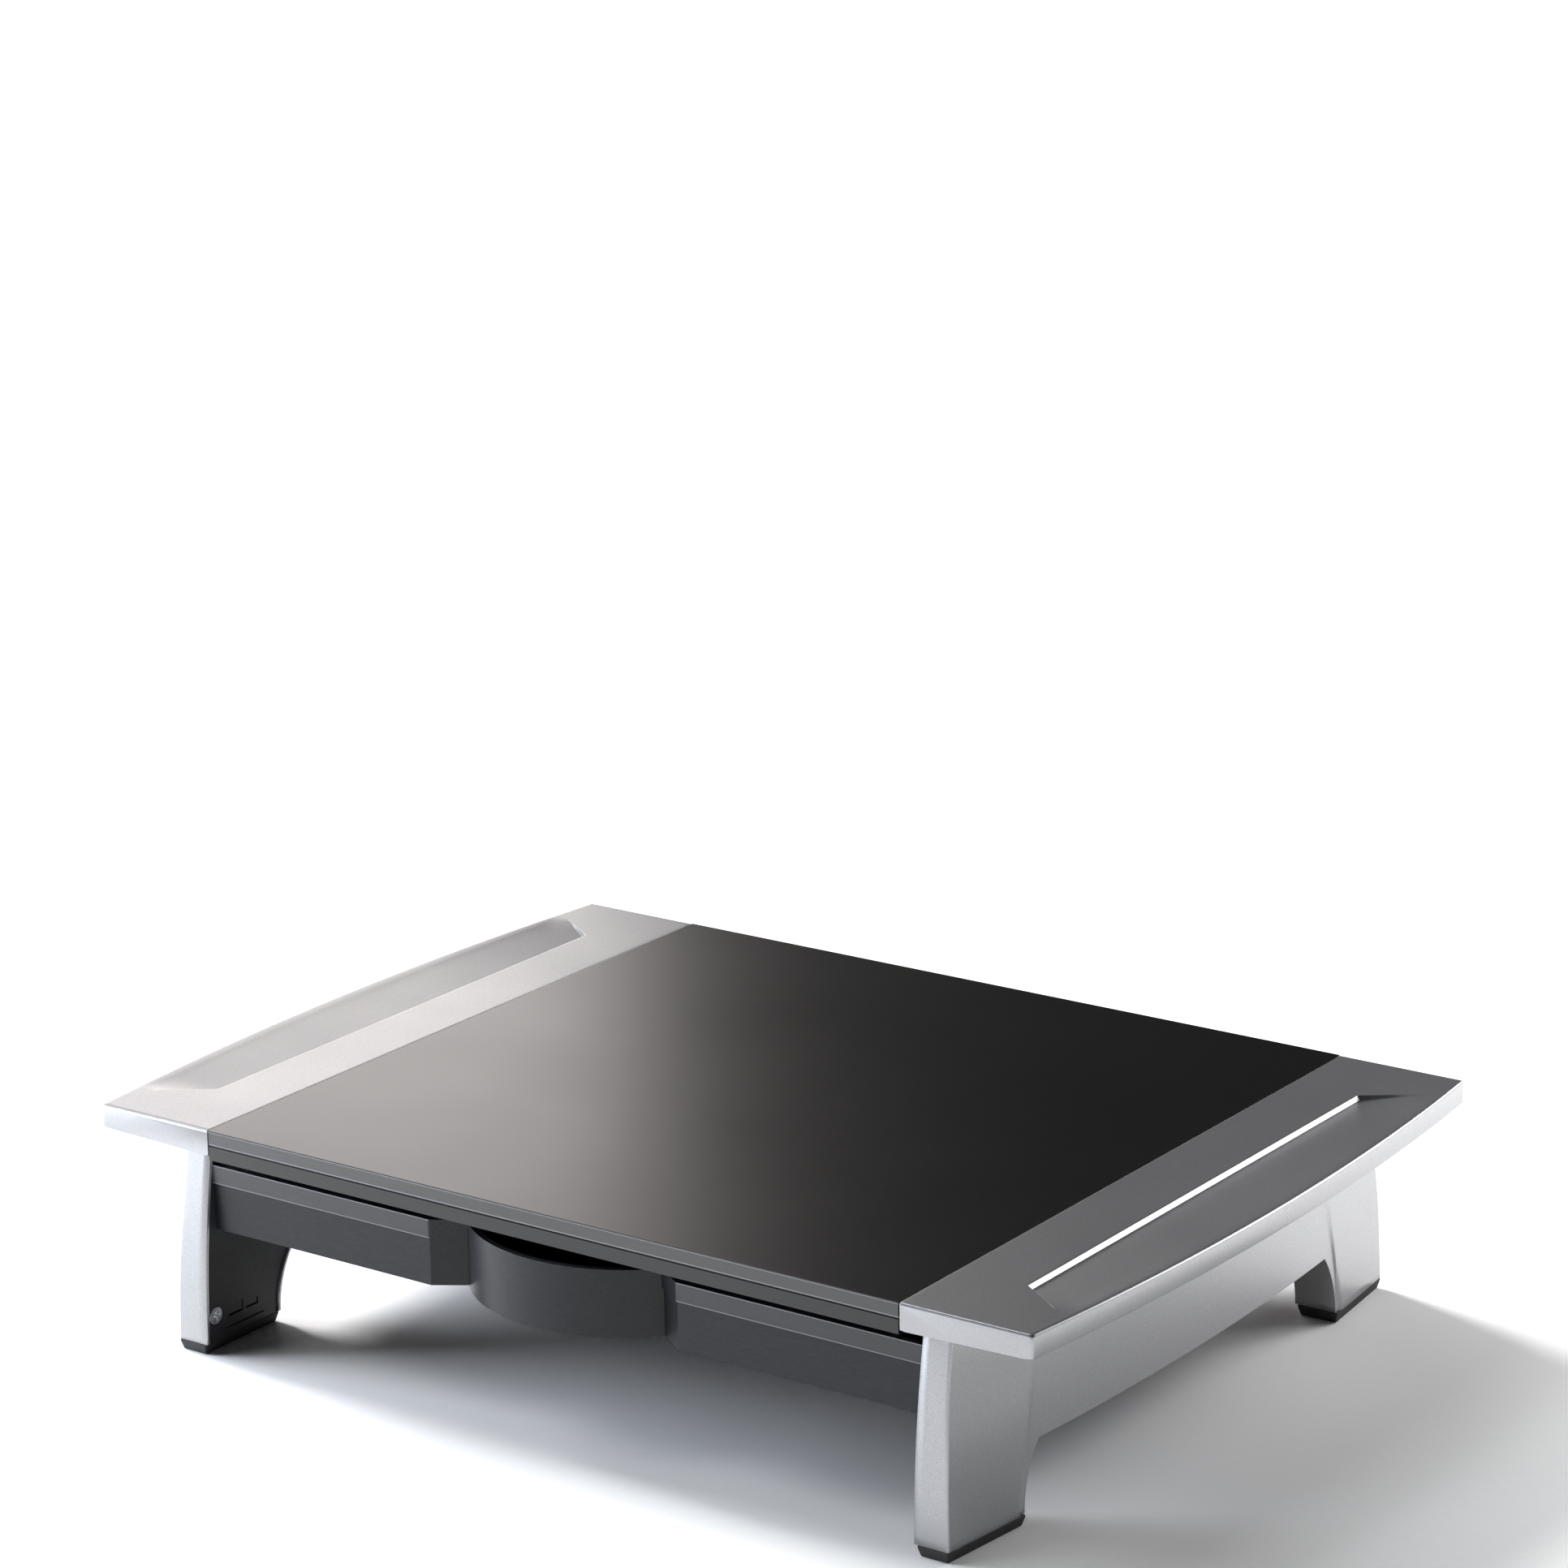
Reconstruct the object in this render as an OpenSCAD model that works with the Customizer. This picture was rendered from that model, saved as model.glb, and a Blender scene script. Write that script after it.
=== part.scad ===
// Monitor riser stand: a ribbed centre deck, two silver wing caps, two arched silver
// side shells with black inner covers, four telescoping legs on rubber pads, and a
// storage tray that slides out on runners under the deck.
// X runs across the stand, Y from front to back, Z up. The origin is on the surface that
// the stand rests on, under the middle of the whole stand with its tray closed.

/* [Overall] */
// Width over the widest part of both wings
overall_w = 505; // [420:1:620]
// Depth of the deck and wings from front to back
deck_depth = 352; // [290:1:430]
// Height of the deck top over the table, legs closed
height = 106.4; // [88:0.1:130]

/* [Deck] */
// Height of the deck's front and back faces
fascia_h = 13.5; // [12:0.5:20]
// Thickness of the deck's top and of the wings' tops
skin = 3; // [2:0.1:4]
// Thickness of the deck's skirts
skirt = 3; // [2:0.1:4]
// Thickness of the deck's ribs
rib = 2; // [1.5:0.1:3]
// Thickness of the shelf that carries each wing and side shell
shelf_h = 3; // [2:0.1:4]
// Depth of the line along the front face
fascia_line_d = 0.5; // [0.2:0.1:1]
// Height of the line along the front face
fascia_line_h = 0.8; // [0.4:0.1:1.5]

/* [Wings] */
// Width of one wing from the seam to its widest point
wing_w = 72.5; // [62:0.5:90]
// How far the wing's outer edge bows out at its middle
wing_bow = 10.5; // [4:0.5:16]
// Height of a wing's edge next to the deck
wing_h = 11.9; // [11.5:0.1:13]
// Height of a wing's outer edge
wing_edge_h = 10.2; // [9:0.1:11.5]
// Wall of a wing cap
wing_wall = 2.5; // [1.5:0.1:3.5]
// Gap between the deck and each wing cap
seam_gap = 0.6; // [0.3:0.1:1.2]
// Depth of the scoop in a wing's top
scoop_d = 3; // [1:0.1:3.5]
// Distance from a wing's widest point in to the scoop's wall
scoop_from_edge = 40; // [30:1:48]
// Distance from a wing's ends to the straight part of the scoop's wall
scoop_from_end = 43; // [30:1:60]

/* [Side shells] */
// Distance from a wing's widest point in to the inner face of the side cover
leg_from_edge = 65.5; // [60:0.5:75]
// Greatest thickness of a side, from the cover's inner face to the shell's outer face
side_t = 26.4; // [24:0.2:32]
// How much a side shell leans in at its top
shell_lean = 3; // [0:0.5:5]
// Wall of a side shell
shell_wall = 2.2; // [1.6:0.1:2.6]
// Radius of the curve of a leg's front and back faces
leg_end_r = 500; // [300:10:900]
// Height of the arch between the legs
arch_h = 34.2; // [26:0.2:42]
// Length of a leg along the side at its foot
leg_len = 49.1; // [44:0.5:60]
// Radius of the arch's two hollow corners
arch_r = 44.7; // [36:0.1:60]
// Thickness of the inner cover
cover_t = 2.4; // [1.8:0.1:3]

/* [Legs] */
// How far each leg can be drawn down
leg_travel = 58.7; // [40:0.1:60]
// Height of a rubber pad
pad_h = 5; // [3:0.5:8]
// How far a pad's sides draw in towards its bottom
pad_taper = 1.3; // [0.5:0.1:3]
// Thickness of a leg column
column_t = 6.6; // [5:0.1:7.5]
// Length of a leg column along the side
column_w = 28.4; // [22:0.2:30]
// Thickness of the foot plate under a column
foot_plate_h = 3; // [2:0.1:5]
// Running clearance around a leg column
column_gap = 0.4; // [0.3:0.05:0.8]

/* [Tray] */
// Height of the tray's underside over the table
tray_z = 57; // [50:0.5:60]
// Height of the tray's front
tray_h = 30; // [24:0.5:31]
// How far the tray's back lies in front of the deck's back face
tray_back_gap = 26; // [16:1:60]
// Wall of the tray
tray_wall = 2.4; // [1.6:0.1:3.5]
// How far the tray's flat front faces lie behind the deck's front face
tray_setback = 8; // [4:0.5:14]
// Half width of the tray's middle, between the two flat front faces
bulge_half_w = 65; // [50:1:90]
// How far the middle steps back beside the bulge
bulge_step = 9; // [4:0.5:12]
// How wide each step is across the front
bulge_step_w = 14; // [8:0.5:20]
// How far the rounded middle stands out past its two ends
bulge_sag = 21.2; // [12:0.2:26]
// Height of the raised band along the top of the tray's front
band_h = 8.4; // [5:0.2:12]
// How far the band stands proud
band_proud = 1; // [0.5:0.1:1.5]
// How far the tray slides out
tray_travel = 200; // [120:1:220]
// Gap between the tray's front and each side cover
tray_side_gap = 0.9; // [0.6:0.1:2]
// Thickness of the flange that hangs the tray in its runners
flange_t = 2.4; // [1.8:0.1:3]
// Running clearance of the tray's flange in its runner
runner_gap = 0.4; // [0.3:0.05:0.8]

/* [Screws] */
// Diameter of a screw's shank
screw_d = 2.9; // [2.5:0.1:3.2]
// Clearance added to a screw's diameter for its hole
screw_gap = 0.2; // [0.1:0.05:0.4]
// Diameter of a screw's head
head_d = 6; // [5:0.1:7]
// Height of a screw's head
head_h = 1.8; // [1.4:0.1:2.4]
// Diameter of the head of a cover screw
cover_head_d = 8; // [7:0.1:9]
// Diameter of a screw boss
boss_d = 7; // [6:0.1:8]

/* [Hidden] */
$fn = 96;
curve_fn = 360;
eps = 0.01;
far = 2 * overall_w;

// Places across the stand, on its right half
wing_x = overall_w / 2;
seam_x = wing_x - wing_w;
deck_x = seam_x - seam_gap / 2;
cap_x = seam_x + seam_gap / 2;
cover_x = wing_x - leg_from_edge;
shell_x = cover_x + side_t;
front = deck_depth / 2;

// Heights
deck_z = height - fascia_h;
roof_z = height - skin;
shelf_recess = 0.6;
shelf_z = height - wing_h + shelf_recess;
shelf_top = shelf_z + shelf_h;
pad_gap = 0.3;
shell_z = pad_h + pad_gap;
scoop_roof_z = roof_z - scoop_d;

// The ribs under the deck, and those of the wings at the same places along Y
rib_pitch_x = 0.33 * deck_x;
rib_pitch_y = 0.35 * front;
wing_rib_from_shelf = 12;
wing_rib_lift = 1.2;

// The wing's outer edge is an arc over the whole depth
wing_r = (pow(front, 2) + pow(wing_bow, 2)) / (2 * wing_bow);
function bowed_x(y, inset) = wing_x - wing_r + sqrt(pow(wing_r - inset, 2) - y * y);
shell_inset = wing_x - shell_x;

// The scoop's wall, how far its tips reach out from it, and the flat rim that it leaves
scoop_x = wing_x - scoop_from_edge;
scoop_tip_w = 21.6;
scoop_rim = 4;

// The arch: two round corners joined by a flat top
arch_foot_y = front - leg_len;
arch_mid_y = arch_foot_y - arch_r;
arch_top_y = arch_mid_y + sqrt(pow(arch_r, 2) - pow(arch_h - shell_z, 2));

// The shelf under the wings and what is screwed to it
shelf_end_gap = 26;
shelf_end = front - shelf_end_gap;
shelf_x = bowed_x(shelf_end, shell_inset) - shell_lean;
shelf_gap = 0.4;
clamp_in = 9;
clamp_x = cover_x + clamp_in;
clamp_end_gap = 16;
clamp_end_y = arch_top_y - clamp_end_gap;
clamp_ys = [-clamp_end_y, -arch_top_y / 3, arch_top_y / 3, clamp_end_y];
clamp_bite = 1.4;
clamp_len = roof_z - shelf_z + clamp_bite;
shell_roof_z = shelf_z - shell_wall;
screw_hole = screw_d + screw_gap;
driver_d = 8;

// The cover and its screws
cover_fit = 0.3;
cover_out_x = cover_x + cover_t;
cover_screw_in = 7.4;
cover_screw_y = front - cover_screw_in;
cover_screw_up = 11.2;
cover_screw_z = shell_z + cover_screw_up;
cover_mid_drop = 8;
cover_mid_z = shell_roof_z - cover_mid_drop;
cover_head_h = 1.6;
cover_head_gap = 0.3;
cover_screw_len = 9;
screw_end_gap = 0.4;
tongue_drop = 2.9;
bar_proud = 0.6;
bar_h = 1.4;
bar_z = shell_z + 2;

// The leg columns
column_x = cover_out_x + column_gap;
column_from_arch = 4.6;
column_y = arch_foot_y + shell_wall + column_from_arch;
column_end_y = column_y + column_w;
column_top_gap = 2;
column_top = shell_roof_z - column_top_gap;
guide_t = 2;
guide_lift = 1.6;
guide_z = shell_z + foot_plate_h + guide_lift;
guide_cover_gap = 0.3;
guide_x = cover_out_x + guide_cover_gap;
plate_gap = 0.8;
plate_y = arch_foot_y + shell_wall + plate_gap;
plate_end_gap = 1.6;
plate_end_y = front - shell_wall - plate_end_gap;
plate_x = bowed_x(plate_end_y, shell_inset + shell_wall) - column_gap - 0.6;
stem_d = 4.7;
stem_gap = 0.3;
stem_h = 2.4;
stem_x = (column_x + plate_x) / 2;
stem_inset = 7;
stem_ys = [plate_y + stem_inset, plate_end_y - stem_inset];
groove_d = 1;
groove_h = 3;
groove_count = 3;
groove_pitch = leg_travel / (groove_count - 1);
groove_z = guide_z + 4;

// The tray and its runners
tray_face = -front + tray_setback;
tray_back = front - tray_back_gap;
tray_front_x = cover_x - tray_side_gap;
runner_w = 9;
runner_web = 2.5;
runner_cover_gap = 3.6;
runner_x = tray_front_x - runner_cover_gap;
runner_in = runner_x - runner_w;
tray_gap = 1.5;
tray_x = runner_in - tray_gap;
flange_side_gap = 0.8;
flange_x = runner_x - runner_web - flange_side_gap;
flange_drop = 9;
flange_z = deck_z - flange_drop;
lip_t = 2.5;
lip_z = flange_z - runner_gap - lip_t;
roof_t = 2.2;
roof_low = flange_z + flange_t + runner_gap;
tab_w = 9;
tab_in = runner_in - tab_w;
tab_t = 2.5;
tab_z = deck_z - tab_t;
runner_front_gap = 9;
runner_front = tray_face + runner_front_gap;
runner_back_gap = 2;
runner_back = tray_back - runner_back_gap;
runner_screw_x = (tab_in + runner_in - 1) / 2;
runner_end = 20;
runner_ys = [runner_front + runner_end, (runner_front + runner_back) / 2, runner_back - runner_end];
runner_screw_len = 8;
stop_h = 6;
stop_t = 4;
stop_side_gap = 0.4;
tray_block_w = 5;
tray_block_back = 14;
tray_block_y = tray_back - tray_block_back;
stop_gap = 0.3;
stop_y = tray_block_y - tray_travel - stop_gap;
side_h = flange_z + flange_t - tray_z;
bulge_end_x = bulge_half_w - bulge_step_w;
bulge_r = (pow(bulge_end_x, 2) + pow(bulge_sag, 2)) / (2 * bulge_sag);
bulge_y = tray_face + bulge_step - bulge_sag + bulge_r;
step_turn = atan(bulge_step / bulge_step_w);
divider_t = 1.8;
divider_h = 12;
divider_front = tray_face + tray_wall + 20;
low_back_in = 12;
low_back_z = tray_z + tray_h * 0.6;

// The whole stand reaches from the bulge of the tray to the back of the deck
bulge_front = tray_face + bulge_step - bulge_sag;
frame_shift = -(min(bulge_front, -front) + front) / 2;

module stand() translate([0, frame_shift, 0]) children();
module on_side(side) mirror([side < 0 ? 1 : 0, 0, 0]) children();
module at_end(end) mirror([0, end < 0 ? 1 : 0, 0]) children();
module along_x(x0, x1) translate([x0, 0, 0]) rotate([90, 0, 90]) linear_extrude(x1 - x0) children();

module block(low, high) translate(low) cube(high - low);

module screw(d, length, wide, tall) {
    // Head above z = 0, shank below, with a cross slot in the head
    difference() {
        union() {
            cylinder(d = wide, h = tall);
            translate([0, 0, -length]) cylinder(d = d, h = length + eps);
        }
        for (a = [0, 90])
            rotate([0, 0, a]) translate([-wide * 0.3, -0.45, tall * 0.4]) cube([wide * 0.6, 0.9, tall]);
    }
}

// ---- Deck ----
module shelf_outline() {
    translate([deck_x - skirt, -shelf_end]) square([shelf_x - deck_x + skirt, 2 * shelf_end]);
}

module deck() color("#1b1b1d") stand() {
    rib_z = deck_z + 1.5;
    line_z = deck_z + fascia_h * 0.46;
    difference() {
        union() {
            difference() {
                block([-deck_x, -front, deck_z], [deck_x, front, height]);
                block([-deck_x + skirt, -front + skirt, deck_z - 1], [deck_x - skirt, front - skirt, roof_z]);
            }
            for (k = [-2:2]) {
                x = k * rib_pitch_x;
                y = k * rib_pitch_y;
                block([x - rib / 2, -front + 1, rib_z], [x + rib / 2, front - 1, roof_z + 1]);
                block([-deck_x + 1, y - rib / 2, rib_z], [deck_x - 1, y + rib / 2, roof_z + 1]);
            }
            for (side = [-1, 1]) on_side(side) {
                translate([0, 0, shelf_z]) linear_extrude(shelf_h) shelf_outline();
                for (y = runner_ys)
                    translate([runner_screw_x, y, deck_z]) cylinder(d = boss_d, h = roof_z - deck_z + 1);
            }
        }
        for (side = [-1, 1]) on_side(side) {
            for (y = clamp_ys) translate([clamp_x, y, shelf_z - 1]) cylinder(d = screw_hole, h = shelf_h + 2);
            for (y = runner_ys)
                translate([runner_screw_x, y, deck_z - 1]) cylinder(d = screw_hole, h = runner_screw_len);
        }
        // The line that halves the front face
        block([-deck_x - 1, -front - 1, line_z],
            [deck_x + 1, -front + fascia_line_d, line_z + fascia_line_h]);
    }
}

// ---- Wing caps ----
module wing_plan(inset) {
    intersection() {
        translate([cap_x + inset, -front + inset]) square([wing_w, deck_depth - 2 * inset]);
        translate([wing_x - wing_r, 0]) circle(r = wing_r - inset, $fn = curve_fn);
    }
}

module wing_section(low, inset) {
    // The underside rises from the seam to the outer edge
    translate([0, front + 1, 0]) rotate([90, 0, 0]) linear_extrude(deck_depth + 2)
        polygon([[cap_x - 1, height - wing_h - low], [wing_x + 1, height - wing_edge_h - low],
            [wing_x + 1, height - inset], [cap_x - 1, height - inset]]);
}

module scoop() {
    // A hollow that starts at a straight wall and rises to nothing at the outer edge
    straight = front - scoop_from_end;
    tip = straight + scoop_from_end * 0.34;
    hull() {
        block([scoop_x, -straight, height - scoop_d], [scoop_x + eps, straight, height + 1]);
        for (end = [-1, 1]) {
            translate([scoop_x + scoop_tip_w, end * tip, height]) cylinder(r = eps, h = 1, $fn = 4);
            for (k = [0.25, 0.5, 0.75])
                translate([bowed_x(k * front, scoop_rim), end * k * front, height])
                    cylinder(r = eps, h = 1, $fn = 4);
        }
    }
}

module wing_cap(side) color("#b9bcc1") stand() on_side(side) {
    difference() {
        union() {
            difference() {
                intersection() {
                    linear_extrude(far) wing_plan(0);
                    wing_section(0, 0);
                }
                intersection() {
                    linear_extrude(far) wing_plan(wing_wall);
                    wing_section(5, skin);
                    union() {
                        block([0, -front, 0], [scoop_x - skin, front, roof_z]);
                        block([0, -front, 0], [far, front, scoop_roof_z]);
                    }
                }
            }
            // Bosses for the clamp screws, standing on the shelf
            for (y = clamp_ys) translate([clamp_x, y, shelf_top])
                cylinder(d = boss_d, h = roof_z - shelf_top + 1);
            // Cross ribs in the overhang
            for (k = [-2:2]) intersection() {
                linear_extrude(far) wing_plan(1);
                wing_section(-wing_rib_lift, 1);
                block([shelf_x + wing_rib_from_shelf, k * rib_pitch_y - rib / 2, 0],
                    [far, k * rib_pitch_y + rib / 2, far]);
            }
        }
        scoop();
        block([0, -shelf_end - shelf_gap, 0], [shelf_x + shelf_gap, shelf_end + shelf_gap, shelf_top]);
        for (y = clamp_ys) translate([clamp_x, y, shelf_top - 1])
            cylinder(d = screw_hole, h = clamp_len - shelf_h);
    }
}

// ---- Side shells ----
module arch(grow) {
    intersection() {
        union() {
            for (end = [-1, 1]) translate([end * arch_mid_y, shell_z])
                circle(r = arch_r + grow, $fn = curve_fn);
            translate([-arch_mid_y, -far]) square([2 * arch_mid_y, far + shell_z + arch_r]);
        }
        translate([-far, -far]) square([2 * far, far + arch_h + grow]);
    }
}

module side_profile(inset, low, high) {
    // The side seen square on: rounded ends, the arch cut out of the bottom
    difference() {
        intersection() {
            translate([-front, low]) square([deck_depth, high - low]);
            intersection_for (end = [-1, 1])
                translate([end * (front - leg_end_r), shell_z]) circle(r = leg_end_r - inset, $fn = curve_fn);
        }
        arch(inset);
    }
}

module side_solid(inset, low, high) {
    // Bowed along its length and leaning in towards its top
    rise = shelf_z - shell_z;
    intersection() {
        along_x(cover_x, far) side_profile(inset, low, high);
        translate([wing_x - wing_r, 0, shell_z - rise])
            cylinder(r1 = wing_r - shell_inset - inset + shell_lean,
                r2 = wing_r - shell_inset - inset - shell_lean, h = 2 * rise, $fn = curve_fn);
    }
}

module cover_screw_places() {
    for (end = [-1, 1]) translate([0, end * cover_screw_y, cover_screw_z]) children();
    translate([0, 0, cover_mid_z]) children();
}

module side_shell(side) color("#c3c6ca") stand() on_side(side) difference() {
    union() {
        difference() {
            side_solid(0, shell_z, shelf_z);
            side_solid(shell_wall, shell_z - 1, shell_roof_z);
        }
        intersection() {
            side_solid(0, shell_z, shelf_z);
            union() {
                cover_screw_places() rotate([0, 90, 0]) translate([0, 0, cover_out_x])
                    cylinder(d = boss_d, h = far);
                // Two guides for each leg column
                for (end = [-1, 1]) at_end(end) {
                    block([guide_x, column_y - column_gap - guide_t, guide_z],
                        [far, column_y - column_gap, far]);
                    block([guide_x, column_end_y + column_gap, cover_screw_z + boss_d / 2 + 1],
                        [far, column_end_y + column_gap + guide_t, far]);
                }
            }
        }
    }
    cover_screw_places() rotate([0, 90, 0]) translate([0, 0, cover_x])
        cylinder(d = screw_hole, h = cover_screw_len);
    for (y = clamp_ys) translate([clamp_x, y, 0]) {
        cylinder(d = screw_hole, h = far);
        cylinder(d = driver_d, h = arch_h + shell_wall + 1);
    }
}

// ---- Side covers ----
module snap_slits() {
    // Two L-shaped slits that leave spring tongues in the cover
    // Each tongue is given as how far its outer end lies from the column's end, its length and its height
    slit = 0.8;
    for (tongue = [[1.7, 9.5, 5.2], [12.8, 8.2, 3.2]])
        translate([column_end_y - tongue[0] - tongue[1], cover_screw_z - tongue_drop]) {
            square([tongue[1], slit]);
            square([slit, tongue[2]]);
        }
}

module side_cover(side) color("#222224") stand() on_side(side) {
    inset = shell_wall + cover_fit;
    difference() {
        union() {
            along_x(cover_x, cover_out_x) side_profile(inset, shell_z, shell_roof_z - cover_fit);
            // A raised bar over the foot of each leg
            for (end = [-1, 1]) at_end(end)
                block([cover_x - bar_proud, column_y + 4, bar_z], [cover_x + 1, column_end_y, bar_z + bar_h]);
        }
        for (end = [-1, 1]) at_end(end) along_x(cover_x - 2, cover_out_x + 1) snap_slits();
        cover_screw_places() rotate([0, 90, 0]) {
            translate([0, 0, cover_x - 1]) cylinder(d = screw_hole, h = cover_t + 2);
            translate([0, 0, cover_x - 1])
                cylinder(d = cover_head_d + 2 * cover_head_gap, h = cover_head_h + 1);
        }
    }
}

// ---- Legs ----
module leg_column(side, end) color("#2a2a2c") stand() on_side(side) at_end(end) {
    difference() {
        union() {
            block([column_x, column_y, pad_h + 10 * eps], [column_x + column_t, column_end_y, column_top]);
            block([column_x, plate_y, pad_h], [plate_x, plate_end_y, pad_h + foot_plate_h]);
        }
        // Three notches for the spring tongues
        for (z = [groove_z:groove_pitch:groove_z + leg_travel])
            block([column_x - 1, column_y - 1, z], [column_x + groove_d, column_end_y + 1, z + groove_h]);
        for (y = stem_ys) translate([stem_x, y, pad_h - 1]) cylinder(d = stem_d + stem_gap, h = stem_h + 1.4);
    }
}

module foot_plan(inset) {
    near = arch_foot_y + inset;
    away = front - inset;
    inner = cover_x + pad_gap + inset;
    polygon([[inner, near], [bowed_x(near, shell_inset) - inset, near],
        [bowed_x(away, shell_inset) - inset, away], [inner, away]]);
}

module foot_pad(side, end) color("#161617") stand() on_side(side) at_end(end) {
    hull() {
        linear_extrude(eps) foot_plan(pad_taper);
        translate([0, 0, pad_h * 0.8]) linear_extrude(pad_h * 0.2) foot_plan(0.2);
    }
    for (y = stem_ys) translate([stem_x, y, pad_h - 1]) cylinder(d = stem_d, h = stem_h + 1);
}

// ---- Tray ----
module bulge_round(wall) {
    // The rounded middle, drawn a little past its two ends into the tray
    intersection() {
        translate([0, bulge_y]) circle(r = bulge_r - wall, $fn = curve_fn);
        translate([-bulge_half_w, -far]) square([2 * bulge_half_w, far + tray_face + bulge_step + wall + 3]);
    }
}

module tray_plan(wall, back, step) {
    // The closed tray seen from above: flat front faces, a step back and a round middle
    turn = wall * tan(step_turn / 2);
    y0 = tray_face + step + wall;
    end_x = bulge_end_x + turn - cos(step_turn);
    y1 = y0 + bulge_step + sin(step_turn);
    polygon([[-tray_x + wall, back], [-tray_x + wall, y0], [-bulge_half_w - turn, y0], [-end_x, y1],
        [end_x, y1], [bulge_half_w + turn, y0], [tray_x - wall, y0], [tray_x - wall, back]]);
    bulge_round(wall);
}

module tray_front_plan(step) {
    // The front plate, wide enough to hide the runners
    y0 = tray_face + step;
    end_x = bulge_end_x - cos(step_turn);
    y1 = y0 + bulge_step + sin(step_turn);
    y2 = tray_face + tray_wall + band_proud;
    back = tray_face + bulge_step + 40;
    polygon([[-tray_front_x, y0], [-bulge_half_w, y0], [-end_x, y1], [end_x, y1], [bulge_half_w, y0],
        [tray_front_x, y0], [tray_front_x, y2], [tray_x, y2], [tray_x, back], [-tray_x, back],
        [-tray_x, y2], [-tray_front_x, y2]]);
    bulge_round(0);
}

module tray() color("#232327") stand() {
    plain_h = tray_h - band_h;
    difference() {
        union() {
            translate([0, 0, tray_z]) linear_extrude(plain_h) tray_front_plan(band_proud);
            translate([0, 0, tray_z + plain_h]) linear_extrude(band_h) tray_front_plan(0);
            translate([0, 0, tray_z]) linear_extrude(side_h) tray_plan(0, tray_back, band_proud);
            for (side = [-1, 1]) on_side(side) {
                block([tray_x - 1, runner_front + 4, flange_z], [flange_x, tray_back, flange_z + flange_t]);
                block([tray_x - 1, tray_block_y, lip_z - stop_h],
                    [tray_x + tray_block_w, tray_block_y + stop_t, lip_z - runner_gap]);
            }
        }
        translate([0, 0, tray_z + tray_wall]) linear_extrude(far)
            tray_plan(tray_wall + band_proud * 0.5, tray_back - tray_wall, band_proud * 0.5);
        // The back wall is lower, for cables and fingers
        block([-tray_x + low_back_in, tray_back - tray_wall - 1, low_back_z],
            [tray_x - low_back_in, tray_back + 1, far]);
    }
    // Two low ribs divide the tray's floor
    for (side = [-1, 1])
        block([side * bulge_half_w - divider_t / 2, divider_front, tray_z + 1],
            [side * bulge_half_w + divider_t / 2, tray_back - 1, tray_z + divider_h]);
}

module tray_runner(side) color("#3a3b3d") stand() on_side(side) {
    difference() {
        union() {
            translate([0, runner_back, 0]) rotate([90, 0, 0]) linear_extrude(runner_back - runner_front)
                polygon([[tab_in, tab_z], [runner_in, tab_z], [runner_x - runner_web, tab_z],
                    [runner_x - runner_web, roof_low + roof_t], [runner_in, roof_low + roof_t],
                    [runner_in, roof_low], [runner_x - runner_web, roof_low],
                    [runner_x - runner_web, lip_z + lip_t], [runner_in, lip_z + lip_t],
                    [runner_in, lip_z], [runner_x, lip_z], [runner_x, deck_z], [tab_in, deck_z]]);
            // The stop that the tray's block meets when it is fully out
            block([runner_in + stop_side_gap, stop_y - stop_t, lip_z - stop_h],
                [runner_x, stop_y, lip_z + 1]);
        }
        for (y = runner_ys) translate([runner_screw_x, y, tab_z - 1]) cylinder(d = screw_hole, h = far);
    }
}

// ---- Screws ----
module side_clamp_screws() color("#9a9da0") stand() {
    for (side = [-1, 1]) on_side(side)
        for (y = clamp_ys) translate([clamp_x, y, shell_roof_z]) rotate([180, 0, 0])
            screw(screw_d, clamp_len, head_d, head_h);
}

module cover_screws() color("#d6d9db") stand() {
    for (side = [-1, 1]) on_side(side)
        cover_screw_places() translate([cover_x + cover_head_h, 0, 0]) rotate([0, -90, 0])
            screw(screw_d, cover_screw_len - cover_head_h - screw_end_gap, cover_head_d, cover_head_h);
}

module runner_screws() color("#9a9da0") stand() {
    for (side = [-1, 1]) on_side(side)
        for (y = runner_ys) translate([runner_screw_x, y, tab_z]) rotate([180, 0, 0])
            screw(screw_d, runner_screw_len, head_d, head_h);
}

module wing_cap_left() wing_cap(-1);
module wing_cap_right() wing_cap(1);
module side_shell_left() side_shell(-1);
module side_shell_right() side_shell(1);
module side_cover_left() side_cover(-1);
module side_cover_right() side_cover(1);
module leg_column_front_left() leg_column(-1, -1);
module leg_column_front_right() leg_column(1, -1);
module leg_column_rear_left() leg_column(-1, 1);
module leg_column_rear_right() leg_column(1, 1);
module foot_pad_front_left() foot_pad(-1, -1);
module foot_pad_front_right() foot_pad(1, -1);
module foot_pad_rear_left() foot_pad(-1, 1);
module foot_pad_rear_right() foot_pad(1, 1);
module tray_runner_left() tray_runner(-1);
module tray_runner_right() tray_runner(1);

deck();
wing_cap_left();
wing_cap_right();
side_shell_left();
side_shell_right();
side_cover_left();
side_cover_right();
leg_column_front_left();
leg_column_front_right();
leg_column_rear_left();
leg_column_rear_right();
foot_pad_front_left();
foot_pad_front_right();
foot_pad_rear_left();
foot_pad_rear_right();
tray();
tray_runner_left();
tray_runner_right();
side_clamp_screws();
cover_screws();
runner_screws();
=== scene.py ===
# %% [markdown]
# # A monitor riser stand
# This lesson dresses a measured model of a monitor riser: a black deck between two silver wings, on two
# arched silver sides, with a tray that slides out under it and legs that draw down to raise it. The
# measured model comes first as a fixed frame, and each visible piece is built on it in metres.

# %% Load the frame
import math

import bmesh
import bpy
from mathutils import Matrix, Vector


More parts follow.
